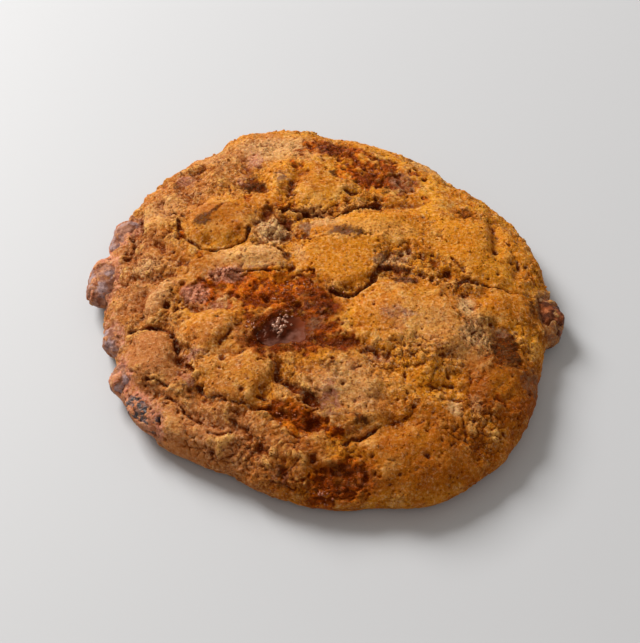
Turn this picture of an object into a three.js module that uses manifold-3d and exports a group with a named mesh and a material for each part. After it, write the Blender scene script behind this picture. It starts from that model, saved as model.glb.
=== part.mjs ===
// A large bakery cookie: a baked dough round with salted caramel melted into its top,
// one lump of caramel at its right edge and chocolate chunks along its left edge.
// Millimetres, +Z up, with +X to the cookie's right and +Y to its back. The places below
// are measured from the axis of the dough's section, and the whole cookie is then moved
// so that the origin is at the bottom centre of its box.
import * as THREE from "three";
import { mergeGeometries, mergeVertices } from "three/addons/utils/BufferGeometryUtils.js";
import { ImprovedNoise } from "three/addons/math/ImprovedNoise.js";
import Module from "manifold-3d";

// ---- Driving dimensions ----

const MEAN_RADIUS = 60.6; // of the dough at its widest line
const THICKNESS = 18.8; // from the underside to the top of the smooth dome
const BELLY_HEIGHT = 5.5; // of the widest line above the underside
const UNDERCUT = 4.6; // how far the flat underside stops short of the widest line
const DOME_FLATNESS = 2.6; // higher is flatter on top
const DOME_SHOULDER = 1.8; // higher is rounder at the shoulder
const GRID_CELLS = 58; // across the dough, from rim to rim over the top
const EMBED_GAP = 0.3; // between the dough and each piece baked into it
const BOX_CENTRE = [0.4, 1.4]; // x and y of the whole cookie's box, from the dough's axis

// The outline's slow waves round the rim: [waves, height in mm, angle of the first crest].
const OUTLINE_WAVES = [
  [1, 0.6, 28],
  [2, 3.6, -121],
  [3, 0.6, -69],
  [4, 1.3, 91],
  [5, 0.8, 65],
  [7, 0.45, 77],
];

// Local swells and dents of the rim: [angle, half width in degrees, height in mm].
const RIM_LUMPS = [
  [30, 8, 0.8],
  [85, 6, -0.8],
  [108, 7, 1.2],
  [120, 5, -0.9],
  [141, 4, 0.9],
  [198, 4, -2.2],
  [210, 6, 0.8],
  [230, 6, 0.4],
  [247, 5, -1.2],
  [282, 5, -0.8],
  [295, 6, 1.0],
  [354, 4, -0.8],
];

// Plates and mounds of the crust: [x, y, half length, half width, turn in degrees, rise].
const MOUNDS = [
  [0, 35, 14, 10, 0, 1.1], // back plate
  [-28, 19, 11, 9, 12, 2.0], // left plate, over a crescent crack
  [-18, 6.5, 8, 3, 4, 1.1], // pale ledge in front of it
  [12, 18, 18, 3.8, 12, 1.5], // long ridge across the middle
  [4, 3.5, 10.5, 8.5, -10, 1.5], // centre plate
  [43, 11, 14, 12, 0, 1.0], // right plate
  [24, -15, 16, 11, -15, 1.5], // broad plate right of the caramel
  [47, -8, 8, 5, 20, 0.7],
  [43, -34, 9, 8, 40, 0.9],
  [22, -52, 14, 7, 10, 1.1], // front right plate
  [7, -33, 9, 6, 0, 1.0],
  [-22, -31, 9, 8, -30, 1.4],
  [-28, -17, 8, 7, 0, 1.8],
  [-43, -22, 6.5, 8, 0, 1.7],
  [-42, -6, 8, 3, 58, 1.5], // diagonal roll
  [-33, -42, 9, 4, -25, 0.9],
  [-45, 6, 7, 5, 60, 0.9],
  [-44, 20, 4, 7, -10, 1.1],
  [-35, 33, 8, 6, 30, 0.8],
];

// Sunken ground: [x, y, half length, half width, turn in degrees, depth].
const HOLLOWS = [
  [-8, -17, 11, 7.5, 0, 2.0], // bowl that holds the caramel
  [-15, -5, 18, 7, -8, 1.2], // spongy caramel behind the bowl
  [15, 38, 12, 10, 0, 0.9], // caramel stain at the back
  [18, 4.5, 6, 3, 10, 0.9], // shelf behind the centre crack
  [31, -34, 4, 7, 20, 1.1],
  [45, -20, 4, 5, 0, 0.8],
  [-5, -43, 7, 4, -20, 1.0], // caramel in the front slope
  [3, -57, 6, 4, 0, 1.0],
  [-19, 33, 5, 4, 0, 1.0],
];

// Cracks: [depth, half width, [x, y] points along the crack].
const CRACKS = [
  [2.2, 1.6, [[-11, 23], [-6, 22], [-3, 21], [3, 20], [8, 22.5], [14, 25]]],
  [2.3, 1.6, [[-12, 10], [-9, 7], [-8, 2], [-9, -1]]],
  [1.9, 1.5, [[-38, 20], [-37.5, 15], [-33, 11], [-28, 9], [-22, 10.5], [-19.5, 15]]],
  [2.1, 1.5, [[2, -6], [5, -7.5], [10, -5.5], [13, -1.5], [17, 1.5], [21, 0]]],
  [1.4, 1.4, [[27, -0.5], [35, -1], [42, -1.5], [49, -2.2]]],
  [2.0, 1.6, [[-13, -25], [-12.5, -28], [-9, -32], [-5, -35], [0, -38.5]]],
  [1.7, 1.5, [[5, -48], [11, -46.5], [15, -44], [24, -43.5]]],
  [1.8, 1.5, [[-49, -13], [-43, -13], [-38, -15.5], [-36, -21], [-34, -26], [-30.5, -32], [-27, -35.5]]],
  [1.3, 1.4, [[-34, -39], [-29, -42], [-20, -43.5]]],
  [1.2, 1.4, [[46, 22], [46.6, 18], [46, 11.5]]],
  [2.0, 1.5, [[-49.5, 26], [-48, 20], [-50, 12]]],
  [1.2, 1.4, [[11, -23.5], [14, -25.5], [19, -26]]],
];

// The crust's own unevenness: [wavelength, height] of each layer of noise.
const UNEVENNESS = [
  [13, 0.75],
  [6, 0.45],
];

// Pieces baked into the dough. The crown is the height of a piece's upper half as a share
// of its lower half, and the turn is about +Z.
const MILK_CHOCOLATE = "#7d5a4e";
const DARK_CHOCOLATE = "#3a2521";
const CARAMEL = "#6b2c12";
const PIECES = [
  {
    name: "caramel_pool",
    centre: [-8, -17.2, 16.1],
    radii: [9.8, 6.5, 2.4],
    crown: 0.36,
    turn: -6,
    lumpiness: 0.12,
    color: CARAMEL,
    roughness: 0.15,
  },
  {
    name: "caramel_lump",
    centre: [58.4, -4.2, 4.8],
    radii: [4.6, 7.6, 4.2],
    crown: 1,
    turn: 6,
    lumpiness: 0.3,
    color: CARAMEL,
    roughness: 0.45,
  },
  {
    name: "chocolate_chunk_1",
    centre: [-57.6, 7.6, 5.7],
    radii: [5, 7.6, 5],
    crown: 1,
    turn: -6,
    lumpiness: 0.25,
    color: MILK_CHOCOLATE,
    roughness: 0.5,
  },
  {
    name: "chocolate_chunk_2",
    centre: [-52.8, 23, 5.4],
    radii: [4.4, 6.6, 4.7],
    crown: 1,
    turn: -20,
    lumpiness: 0.28,
    color: MILK_CHOCOLATE,
    roughness: 0.5,
  },
  {
    name: "chocolate_chunk_3",
    centre: [-53.4, -11.4, 4.8],
    radii: [3.6, 5, 4],
    crown: 1,
    turn: 14,
    lumpiness: 0.2,
    color: MILK_CHOCOLATE,
    roughness: 0.4,
  },
  {
    name: "chocolate_chunk_4",
    centre: [-49.4, -25.2, 5.6],
    radii: [4, 4.6, 4.6],
    crown: 1,
    turn: 30,
    lumpiness: 0.2,
    color: MILK_CHOCOLATE,
    roughness: 0.5,
  },
  {
    name: "chocolate_chunk_5",
    centre: [-43.4, -35.9, 6.6],
    radii: [3.2, 7, 3.7],
    crown: 1,
    turn: 42,
    lumpiness: 0.2,
    color: DARK_CHOCOLATE,
    roughness: 0.35,
  },
];
const PIECE_DETAIL = 2; // subdivisions of the round that each piece starts from
const LUMP_SIZE = 4.5; // wavelength of the lumps on those pieces

// ---- Small helpers ----

const noise = new ImprovedNoise();
const radians = THREE.MathUtils.degToRad;
const smoothstep = THREE.MathUtils.smoothstep;

// Distance across an ellipse, 1 on its edge.
function acrossEllipse(x, y, [cx, cy, halfLength, halfWidth, turn]) {
  const c = Math.cos(radians(turn));
  const s = Math.sin(radians(turn));
  const along = ((x - cx) * c + (y - cy) * s) / halfLength;
  const beside = ((y - cy) * c - (x - cx) * s) / halfWidth;
  return Math.hypot(along, beside);
}

function distanceToSegment(x, y, [ax, ay], [bx, by]) {
  const dx = bx - ax;
  const dy = by - ay;
  const t = ((x - ax) * dx + (y - ay) * dy) / (dx * dx + dy * dy);
  const k = THREE.MathUtils.clamp(t, 0, 1);
  return Math.hypot(x - ax - k * dx, y - ay - k * dy);
}

function distanceToPath(x, y, path) {
  let nearest = Infinity;
  for (let i = 1; i < path.length; i += 1) {
    nearest = Math.min(nearest, distanceToSegment(x, y, path[i - 1], path[i]));
  }
  return nearest;
}

// ---- The dough ----

function outlineRadius(angle) {
  let radius = MEAN_RADIUS;
  for (const [waves, height, crest] of OUTLINE_WAVES) {
    radius += height * Math.cos(waves * angle - radians(crest));
  }
  for (const [at, halfWidth, height] of RIM_LUMPS) {
    const turn = Math.atan2(Math.sin(angle - radians(at)), Math.cos(angle - radians(at)));
    radius += height * Math.exp(-((turn / radians(halfWidth)) ** 2));
  }
  return radius;
}

// The dough's half section from the top of the dome, over the widest line, to the rim of
// the flat underside. Its x is the distance from the axis and its y is the height.
function sectionCurve() {
  const points = [];
  const domeSteps = 24;
  for (let i = 0; i <= domeSteps; i += 1) {
    const s = Math.sin((i / domeSteps) * Math.PI / 2);
    const rise = (1 - s ** DOME_FLATNESS) ** (1 / DOME_SHOULDER);
    points.push(new THREE.Vector2(MEAN_RADIUS * s, BELLY_HEIGHT + (THICKNESS - BELLY_HEIGHT) * rise));
  }
  const underSteps = 6;
  for (let i = 1; i <= underSteps; i += 1) {
    const a = (i / underSteps) * Math.PI / 2;
    points.push(
      new THREE.Vector2(MEAN_RADIUS - UNDERCUT * (1 - Math.cos(a)), BELLY_HEIGHT * (1 - Math.sin(a))),
    );
  }
  return new THREE.SplineCurve(points);
}

// How far the crust stands out from the smooth section at a place.
function relief(x, y, z) {
  let rise = 0;
  for (const mound of MOUNDS) {
    rise += mound[5] * (1 - smoothstep(acrossEllipse(x, y, mound), 0.5, 1.15));
  }
  for (const hollow of HOLLOWS) {
    rise -= hollow[5] * (1 - smoothstep(acrossEllipse(x, y, hollow), 0.4, 1.2));
  }
  for (const [depth, halfWidth, path] of CRACKS) {
    rise -= depth * Math.exp(-((distanceToPath(x, y, path) / halfWidth) ** 2));
  }
  for (const [size, height] of UNEVENNESS) {
    rise += height * noise.noise(x / size, y / size, z / size);
  }
  return rise;
}

// Sends a square of side 2 to a disc of radius 1, ring by ring.
function squareToDisc(x, y) {
  const ring = Math.max(Math.abs(x), Math.abs(y), 1e-9);
  const across = x * Math.sqrt(2 - (y / ring) ** 2);
  const up = y * Math.sqrt(2 - (x / ring) ** 2);
  return { ring, angle: Math.atan2(up, across) };
}

// The crust is a square grid drawn over the section curve, ring by ring.
function crustGeometry() {
  const section = sectionCurve();
  const geometry = new THREE.PlaneGeometry(2, 2, GRID_CELLS, GRID_CELLS);
  const position = geometry.attributes.position;
  for (let i = 0; i < position.count; i += 1) {
    const { ring, angle } = squareToDisc(position.getX(i), position.getY(i));
    const point = section.getPointAt(ring);
    const tangent = section.getTangentAt(ring);
    const stretch = outlineRadius(angle) / MEAN_RADIUS;
    const x = point.x * stretch * Math.cos(angle);
    const y = point.x * stretch * Math.sin(angle);
    const fade = 1 - smoothstep(ring, 0.9, 0.985);
    const out = relief(x, y, point.y) * fade;
    const sideways = -tangent.y * out;
    const up = tangent.x * out;
    position.setXYZ(i, x + sideways * Math.cos(angle), y + sideways * Math.sin(angle), point.y + up);
  }
  return geometry;
}

// The flat underside, over the crust grid's own rim points.
function undersideGeometry(crust) {
  const side = GRID_CELLS + 1;
  const rim = [];
  const add = (column, row) => {
    const i = row * side + column;
    rim.push(new THREE.Vector2(crust.attributes.position.getX(i), crust.attributes.position.getY(i)));
  };
  for (let k = 0; k < GRID_CELLS; k += 1) add(k, GRID_CELLS);
  for (let k = GRID_CELLS; k > 0; k -= 1) add(GRID_CELLS, k);
  for (let k = GRID_CELLS; k > 0; k -= 1) add(k, 0);
  for (let k = 0; k < GRID_CELLS; k += 1) add(0, k);
  const geometry = new THREE.ShapeGeometry(new THREE.Shape(rim));
  const index = geometry.index.array;
  for (let i = 0; i < index.length; i += 3) {
    [index[i], index[i + 1]] = [index[i + 1], index[i]];
  }
  return geometry;
}

function doughGeometry() {
  const crust = crustGeometry();
  return mergeGeometries([crust, undersideGeometry(crust)].map(positionsOnly));
}

function positionsOnly(geometry) {
  const bare = geometry.clone();
  bare.deleteAttribute("normal");
  bare.deleteAttribute("uv");
  return bare;
}

// ---- The pieces baked into it ----

// A lumpy round, kept above the surface that the cookie lies on.
function pieceGeometry(piece, grow) {
  const geometry = positionsOnly(new THREE.IcosahedronGeometry(1, PIECE_DETAIL));
  const position = geometry.attributes.position;
  const direction = new THREE.Vector3();
  const [cx, cy, cz] = piece.centre;
  const [rx, ry, rz] = piece.radii;
  const turn = radians(piece.turn);
  for (let i = 0; i < position.count; i += 1) {
    direction.fromBufferAttribute(position, i).normalize();
    const lump = noise.noise(
      (direction.x * rx + cx) / LUMP_SIZE,
      (direction.y * ry + cy) / LUMP_SIZE,
      (direction.z * rz + cz) / LUMP_SIZE,
    );
    const swell = 1 + piece.lumpiness * lump;
    const x = direction.x * (rx * swell + grow);
    const y = direction.y * (ry * swell + grow);
    const z = direction.z * (rz * swell + grow) * (direction.z > 0 ? piece.crown : 1);
    position.setXYZ(
      i,
      cx + x * Math.cos(turn) - y * Math.sin(turn),
      cy + x * Math.sin(turn) + y * Math.cos(turn),
      cz + z,
    );
  }
  return geometry;
}

// ---- Solids ----

const wasm = await Module();
wasm.setup();

function toSolid(geometry) {
  const merged = mergeVertices(geometry, 1e-4);
  return new wasm.Manifold(
    new wasm.Mesh({
      numProp: 3,
      vertProperties: new Float32Array(merged.attributes.position.array),
      triVerts: new Uint32Array(merged.index.array),
    }),
  );
}

function toGeometry(solid) {
  const mesh = solid.getMesh();
  const geometry = new THREE.BufferGeometry();
  geometry.setAttribute("position", new THREE.BufferAttribute(mesh.vertProperties, 3));
  geometry.setIndex(new THREE.BufferAttribute(mesh.triVerts, 1));
  geometry.computeVertexNormals();
  return geometry;
}

function namedMesh(name, geometry, color, roughness) {
  const material = new THREE.MeshStandardMaterial({ color, roughness, metalness: 0 });
  const mesh = new THREE.Mesh(geometry, material);
  mesh.name = name;
  return mesh;
}

const group = new THREE.Group();
group.position.set(-BOX_CENTRE[0], -BOX_CENTRE[1], 0);
let dough = toSolid(doughGeometry());
for (const piece of PIECES) {
  dough = dough.subtract(toSolid(pieceGeometry(piece, EMBED_GAP)));
  group.add(namedMesh(piece.name, toGeometry(toSolid(pieceGeometry(piece, 0))), piece.color, piece.roughness));
}
group.add(namedMesh("cookie", toGeometry(dough), "#b5712f", 0.85));

export default group;
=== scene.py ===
"""The finish of a large salted caramel cookie: its cracked crust, caramel, chocolate and crumbs.

Places and sizes on the cookie are in millimetres, measured from the axis of the dough.
"""

import math
from functools import partial

import bmesh
import bpy
import numpy as np
from mathutils import Matrix, Quaternion, Vector
from mathutils.bvhtree import BVHTree
from mathutils.kdtree import KDTree


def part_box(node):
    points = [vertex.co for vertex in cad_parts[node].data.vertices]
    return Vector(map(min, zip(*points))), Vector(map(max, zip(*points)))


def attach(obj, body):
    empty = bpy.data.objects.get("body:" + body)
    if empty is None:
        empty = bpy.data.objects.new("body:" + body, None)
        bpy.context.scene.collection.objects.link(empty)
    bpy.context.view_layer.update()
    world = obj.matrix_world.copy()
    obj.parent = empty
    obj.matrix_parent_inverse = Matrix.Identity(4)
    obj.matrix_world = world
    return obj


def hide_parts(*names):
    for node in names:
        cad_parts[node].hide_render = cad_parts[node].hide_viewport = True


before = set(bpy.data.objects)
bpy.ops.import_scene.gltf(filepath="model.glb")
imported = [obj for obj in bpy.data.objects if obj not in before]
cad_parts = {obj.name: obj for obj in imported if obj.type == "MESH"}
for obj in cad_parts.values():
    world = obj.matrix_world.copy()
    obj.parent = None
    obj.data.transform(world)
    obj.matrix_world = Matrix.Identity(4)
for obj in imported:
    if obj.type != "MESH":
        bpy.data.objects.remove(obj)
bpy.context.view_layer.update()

MM = 0.001
DOUGH_AXIS = np.array([-0.4, -1.4, 0.0])  # the dough's axis, from the frame's origin

# ---- Sizes of the finish, in millimetres, with its shares and counts ----

VOXEL = 0.72  # the closed skin that the crust starts from
MERGE = 0.01  # corners of loose triangles that are nearer than this are one
REACH = 4.0  # how far from a solid its distance is worked out
CRUST_TRIANGLES = 196000
FLOOR_LINE = 0.02  # the underside stays just above the ground
HIGH_LINE = 19.8  # relief above this is pressed down by half, to the dough's height
ROUGH_LIMITS = (0.12, 1.3)  # from the smoothest plate to the most crumbly ground
CRACK_DEPTH = 0.82  # the share of a crack's depth and width that the finish cuts
CRACK_WIDTH = 0.72
LIP_WIDTH = 1.7  # the ground beside a crack swells up this far away from it
LIP_RISE = 1.3
FOLD_DEPTH = 1.25  # the share of a fold's depth, likewise
BROKEN_EDGE = 0.62  # how far a crack's edge wanders
SEAM_WIDTH = 0.42  # thin seams between the crust's plates
SEAM_DEPTH = 0.55
CRACKLE_WIDTH = 0.3  # finer lines near the cracks
CRACKLE_DEPTH = 0.45
CRUST_PITS = [(3.2, 0.35, 0.5, 0.85, 12), (1.6, 0.4, 0.3, 0.5, 13)]  # see scattered_pits
SPONGE_PITS = (4.2, 0.4, 0.8, 1.1, 20)
# These masks colour the crust: darker below the evened-out ground as painted shade, and paler above
# it as a painted highlight.
SUNKEN = {"hollow": 200, "dent": 40, "pit": 6}  # how evened out the ground is that each lies below
SKIN_OVER_PIECES = 0.45  # how far the skin starts outside the pieces baked into the dough
SKIN_DIP = 1.0  # how far it sinks where it is torn open over them
ALONG_EDGE = [[0.25, 0.7, 0.0], [-0.25, 0.7, 0.0], [0.0, 0.0, 0.6]]  # draws tears out in streaks
POOL_OPENING = (-10, -17.2, 6.6, 4.5)  # x, y, half length, half width of the pool's bare part
POOL_DIP = 1.5  # how far the skin sinks below the bare part
POOL_GROWTH = -0.35  # how far the finished pieces stand out from their solids
CHUNK_GROWTH = 0.05
LUMP_LEVELS = 4  # how finely those pieces are divided
LUMP_SEED = 60
POOL_LUMPS = [(6.0, 0.35), (2.4, 0.12)]  # the size and height of each layer of lumps
BOILED_LUMPS = [(3.0, 0.8), (1.4, 0.4)]
CHUNK_LUMPS = [(4.4, 0.5), (2.3, 0.45), (1.2, 0.25)]
AMBER_SIDE = (-9.6, -3.6)  # the pool turns amber from left to right between these
CHUNKS = ["chocolate_chunk_%d" % number for number in range(1, 6)]
CRUMB_COUNT = 500
CRUMB_RADIUS = (0.2, 0.45)
CRUMB_SQUASH = (0.7, 1.3)
BUBBLES_ABOVE = 5.0  # none below this height
MASKS = ["hollow", "dent", "pit", "crack", "rough", "caramel", "wet"]
MASKS += ["chocolate", "bloom", "pale", "browned", "dusky", "golden"]

# Bubbles of froth: (x, y, how far they spread along x and y, how many, the largest radius).
FROTH = [
    (-9.8, -16, 2.2, 2.8, 24, 0.7),
    (-9, -12.3, 2.6, 1.2, 12, 0.4),
    (-18.5, -15.5, 1.4, 1.8, 14, 0.4),
    (-8, -4.5, 9.0, 3.6, 44, 0.4),
    (-23.5, 1, 4.0, 1.6, 26, 0.4),
    (-31, -6, 3.4, 2.2, 22, 0.4),
    (0, -60.5, 2.4, 1.6, 20, 0.4),
    (14, 41, 8.0, 7.0, 34, 0.4),
    (-7, -41, 5.0, 2.0, 10, 0.4),
]

# Cracks in the crust: (depth, half width, points along the crack).
CRACKS = [
    # behind the long ridge
    (2.8, 1.2, [(-11, 23), (-9, 23.4), (-6, 22), (-4.5, 22.3), (-3, 21), (-1.5, 21.4), (1, 19.8),
                (3.3, 20)]),
    (2.8, 1.2, [(3.3, 20), (5, 21.8), (8, 22.4), (10, 23.5), (14.5, 25.5)]),
    (1.6, 0.6, [(14.5, 25.5), (14.2, 28)]),
    (1.0, 0.6, [(-14.6, 26), (-14, 22.5)]),
    # left of the centre plate
    (1.8, 0.9, [(-12.5, 9.5), (-10.3, 8), (-9.2, 6.2)]),
    (1.4, 0.9, [(-9.2, 6.2), (-8, 4.4), (-7.6, 2)]),
    (1.6, 0.6, [(-8.5, 19), (-8.7, 16), (-6.5, 12.8), (-4.5, 11.5), (-2, 11.2)]),
    (0.8, 0.35, [(-1.5, 12.5), (0, 11.6), (1.5, 11.9), (3, 11.2)]),
    # round the left plate
    (1.7, 0.6, [(-38.3, 21), (-38, 18), (-37.8, 15.5), (-35.5, 13.2), (-33.5, 11.5),
                (-31.5, 9.8), (-28, 9)]),
    (1.7, 0.6, [(-28, 9), (-25, 9.6), (-22.5, 10.5), (-20, 12.5), (-19.4, 16)]),
    (1.4, 1.1, [(-38.5, 14.5), (-35.5, 13.6)]),
    (0.6, 0.35, [(-26.6, 24.6), (-28.5, 22)]),
    (1.2, 0.45, [(-40.2, 25.2), (-38.6, 24.3), (-37, 23.3)]),
    # under the centre plate
    (2.3, 1.0, [(2.3, -5.6), (4.5, -6.5), (5.5, -7.5), (7.5, -6.8), (10, -5), (12, -3.4),
                (12.8, -1.8)]),
    (2.6, 1.3, [(12.8, -1.8), (13.4, 0.2), (15, 2), (17.4, 2.6)]),
    (2.0, 1.2, [(11.8, -3), (13, -2.2)]),
    (2.0, 1.1, [(18.8, 1.6), (20.4, 1.2), (21.8, 1.8)]),
    (1.0, 0.35, [(10.4, -6.8), (10.6, -8.5), (11, -10.2)]),
    (0.9, 0.6, [(19.6, 9.6), (21.4, 11.4), (23, 11)]),
    (0.8, 0.4, [(22, 8.8), (23.5, 8.2)]),
    # across the right side
    (1.5, 0.4, [(41, -1.1), (43.5, -1.8), (46, -1.7)]),
    (0.8, 0.3, [(46, -1.7), (48.5, -2.2), (52, -2), (55, -1.5)]),
    (1.2, 0.6, [(33.7, 6), (35, 4.2), (36.5, 2)]),
    (1.6, 0.7, [(25, 0.6), (27.2, -0.5), (29, -0.6)]),
    (2.0, 0.9, [(34.5, -1.4), (37.5, -0.8), (39.5, -1.2)]),
    (0.9, 0.45, [(46.2, 22), (46.3, 20), (46.8, 17.8)]),
    (0.9, 0.5, [(48.3, 16), (49.6, 14.8)]),
    (1.0, 0.6, [(45, 12.2), (46, 11.6), (47.3, 12)]),
    (0.9, 0.5, [(51.8, 9.6), (51.9, 7.6)]),
    (0.8, 0.5, [(31, 16.5), (31.4, 13.2)]),
    (0.8, 0.35, [(28.5, 19), (28.3, 17.2)]),
    (0.8, 0.35, [(26.2, 12.6), (26.3, 10.8)]),
    (0.8, 0.4, [(28.2, 7.7), (29.8, 6.9)]),
    # in front of the caramel
    (1.9, 0.9, [(-12.9, -25.5), (-12.8, -28.6)]),
    (1.6, 1.0, [(-11, -30), (-9.2, -32), (-7.5, -33.5), (-5, -35), (-3, -36.8), (-0.8, -38.6)]),
    (1.2, 0.8, [(-4.5, -37.5), (-1.5, -40)]),
    (1.1, 0.6, [(10.8, -23.4), (12.4, -24), (13.9, -25.7)]),
    (0.9, 0.5, [(17.8, -25.8), (19.2, -26.3)]),
    # behind the front right plate
    (1.5, 0.6, [(5, -48.6), (6.8, -47.4), (8.8, -47.7), (11, -46.4)]),
    (1.1, 0.45, [(11, -46.5), (13, -45), (15, -44), (17, -43.6)]),
    (1.1, 0.6, [(21.7, -44.2), (24.2, -43.2)]),
    (0.7, 0.3, [(15.3, -53.6), (16.8, -53.8)]),
    # round the left blocks
    (1.8, 0.55, [(-49, -13), (-46.5, -13.3), (-43.5, -13), (-41, -14), (-38.7, -14.8),
                 (-37.8, -16.5)]),
    (1.8, 0.55, [(-37.8, -16.5), (-36.6, -18.6), (-36, -21), (-35.7, -23)]),
    (1.6, 0.5, [(-34.2, -25.6), (-32.6, -27), (-31, -28.6)]),
    (1.5, 0.5, [(-30.6, -32.4), (-29.6, -34), (-28.4, -35.4), (-26.5, -35.8), (-24.6, -36.6)]),
    (0.8, 0.7, [(-22.4, -17.3), (-23.8, -20.3), (-25.4, -22)]),
    (1.6, 0.6, [(-43.4, -29.4), (-40, -30.2), (-38, -32)]),
    (1.5, 0.6, [(-38, -34.6), (-35, -36.5), (-33.4, -39)]),
    (1.2, 0.5, [(-27.4, -44.4), (-25, -45.2), (-22, -44.6)]),
    (1.0, 0.45, [(-28, -50), (-25.4, -49.4)]),
    (1.4, 0.6, [(-25, -37.2), (-22, -38.2), (-19, -38.5), (-16, -40), (-12.6, -39.6)]),
    (0.9, 0.4, [(-48.2, -25.8), (-46, -27.3)]),
    (1.3, 0.8, [(-45.6, -5), (-46.8, -8), (-46.6, -11)]),
    (0.8, 0.35, [(-39, -35.8), (-37.4, -36.2)]),
    (1.0, 0.8, [(-35.4, -35), (-35.1, -38.6)]),
    (1.2, 0.5, [(-33.2, -39.3), (-31.2, -41), (-28.8, -42.2)]),
    (1.2, 0.7, [(-22.5, -41.5), (-20.5, -43.2), (-18.6, -44.2)]),
    (1.0, 0.45, [(-15.6, -36.4), (-13, -37.4)]),
    (1.4, 0.7, [(-15.8, -48.2), (-14.2, -49.2), (-13, -50.2)]),
    # along the left edge
    (2.0, 0.9, [(-49.6, 26), (-48.4, 22.5), (-47.6, 19.6)]),
    (1.8, 0.8, [(-51, 19), (-50.2, 16.5), (-50, 12.5), (-52.5, 11.5)]),
    (1.0, 0.5, [(-49, 11), (-46.5, 9.2)]),
    (1.2, 0.4, [(-24.5, 1.6), (-21, 1.1), (-15, 1.4), (-11, 1.2)]),
    # in the caramel stains
    (1.3, 0.7, [(6, 29.6), (8, 29), (10.4, 29.4)]),
    (1.2, 0.7, [(-20.8, 33.4), (-19, 33), (-16.5, 34.2)]),
    (1.0, 0.7, [(-11.8, 28.9), (-9.5, 28.5), (-7.4, 28.8)]),
    # in the crumbly ground at the right
    (1.0, 0.5, [(46.6, -25.8), (48.5, -25.6), (50.2, -25)]),
    (1.2, 0.7, [(29, -36.9), (31.5, -36.4), (33.8, -37)]),
    (1.2, 0.7, [(30.2, -28.6), (30.7, -30.6)]),
    (1.2, 0.8, [(29.8, -32.4), (31.5, -32.8)]),
    (0.5, 0.4, [(19.8, -30), (19.7, -34)]),
    (0.9, 0.5, [(33.4, -41), (34, -43.5), (34.6, -46)]),
    (0.9, 0.45, [(30.5, -49), (31.6, -48.2)]),
]

# Soft valleys between the blocks of the crust, given in the same way.
FOLDS = [
    (1.3, 1.8, [(-11.5, -29), (-9.2, -32), (-6, -34.5), (-3, -36.8), (-0.8, -38.6)]),
    (1.2, 1.4, [(-39.5, -14.5), (-37.6, -17), (-36.2, -21), (-35.2, -25)]),
    (0.8, 1.3, [(-50, -13), (-45, -12.8), (-41, -13.6)]),
    (1.2, 2.0, [(-46.5, -3), (-47, -7), (-46.4, -11)]),
    (0.6, 1.5, [(-42.6, -31.5), (-38.5, -31), (-35, -29)]),
    (1.0, 1.4, [(-31, -33), (-28, -36), (-24, -37.5)]),
    (1.2, 1.5, [(-50.5, 27), (-49, 22), (-50.4, 16), (-51, 11)]),
    (0.9, 1.5, [(-46.6, 34), (-44, 29), (-41.6, 25)]),
    (1.0, 1.6, [(-35.5, -8), (-31.5, -9.6), (-25, -9)]),
    (0.9, 1.6, [(-25.6, -23), (-22, -18), (-19.6, -15)]),
    (1.0, 1.8, [(-17.5, -22), (-21, -24.6), (-26.4, -24.8)]),
    (0.5, 1.5, [(-44, -31.6), (-39.6, -33.6), (-35, -36.5), (-33.4, -39)]),
    (1.0, 1.5, [(-33.5, -39), (-29, -42), (-22, -43.6), (-17.5, -46)]),
    (0.8, 1.4, [(-25, -37.2), (-19, -38.5), (-12.6, -39.6)]),
    (1.0, 2.0, [(-14, -35), (-16, -39), (-21, -41)]),
    (0.9, 2.0, [(4, -48.8), (8, -47.6), (13, -45.4), (18, -43.6)]),
    (0.9, 1.8, [(-7, -46), (-3, -50), (-1.5, -54)]),
    (1.0, 2.2, [(10, -57), (9.4, -53), (6.5, -50)]),
    (0.7, 1.5, [(27, -33.4), (31.4, -32.6), (35.4, -35)]),
    (0.6, 1.4, [(32, -27.6), (31.4, -31), (29.6, -34)]),
    (0.9, 1.8, [(44.6, -15), (43.6, -20), (44, -25)]),
    (0.8, 1.6, [(2, -20.6), (6, -22.6), (11, -23.2), (15.4, -25.6)]),
    (1.0, 1.8, [(-17.0, 17.0), (-14.4, 21), (-11.6, 24)]),
    (1.0, 1.8, [(-9.4, 18.6), (-7.6, 14), (-5, 12)]),
    (1.0, 1.7, [(-15, 31.6), (-17.6, 36), (-21.6, 41), (-21.4, 47)]),
    (1.0, 1.8, [(-9.6, 28.6), (-7.6, 33), (-5.6, 38)]),
    (0.8, 1.6, [(-33, 27), (-37, 31), (-39, 36)]),
    (1.0, 2.0, [(14.4, 24.6), (20, 26.4), (27, 27.6)]),
    (0.8, 1.6, [(45.8, 24), (46.4, 18), (45.6, 11)]),
    (0.8, 1.5, [(50.6, 12.6), (52, 8), (50.6, 4)]),
    (0.9, 1.8, [(22.6, 8.6), (27, 6.6), (31, 2.6), (35.4, -0.4)]),
    (0.8, 1.6, [(-44, 14), (-40.6, 9.4), (-36, 6)]),
    (0.8, 1.6, [(-50, 3), (-44.6, 0.6), (-39.6, 2.6)]),
]

# Soft rises of the crust, given in the same way.
SWELLS = [
    (1.7, 3.2, [(3, 12.2), (12, 13), (22, 15)]),
    (0.7, 3.0, [(-38, -27), (-34, -32)]),
    (0.7, 3.4, [(-41, -37), (-37, -41)]),
    (1.0, 1.7, [(-26.2, -47.4), (-24, -46.8), (-21, -46)]),
    (0.8, 1.5, [(-18, -36.6), (-16, -38.4), (-14.6, -40.6)]),
    (0.5, 2.2, [(-19.5, -49.5), (-17, -51.5)]),
    (0.8, 2.4, [(-8, -46.6), (-5, -48.4)]),
]

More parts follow.
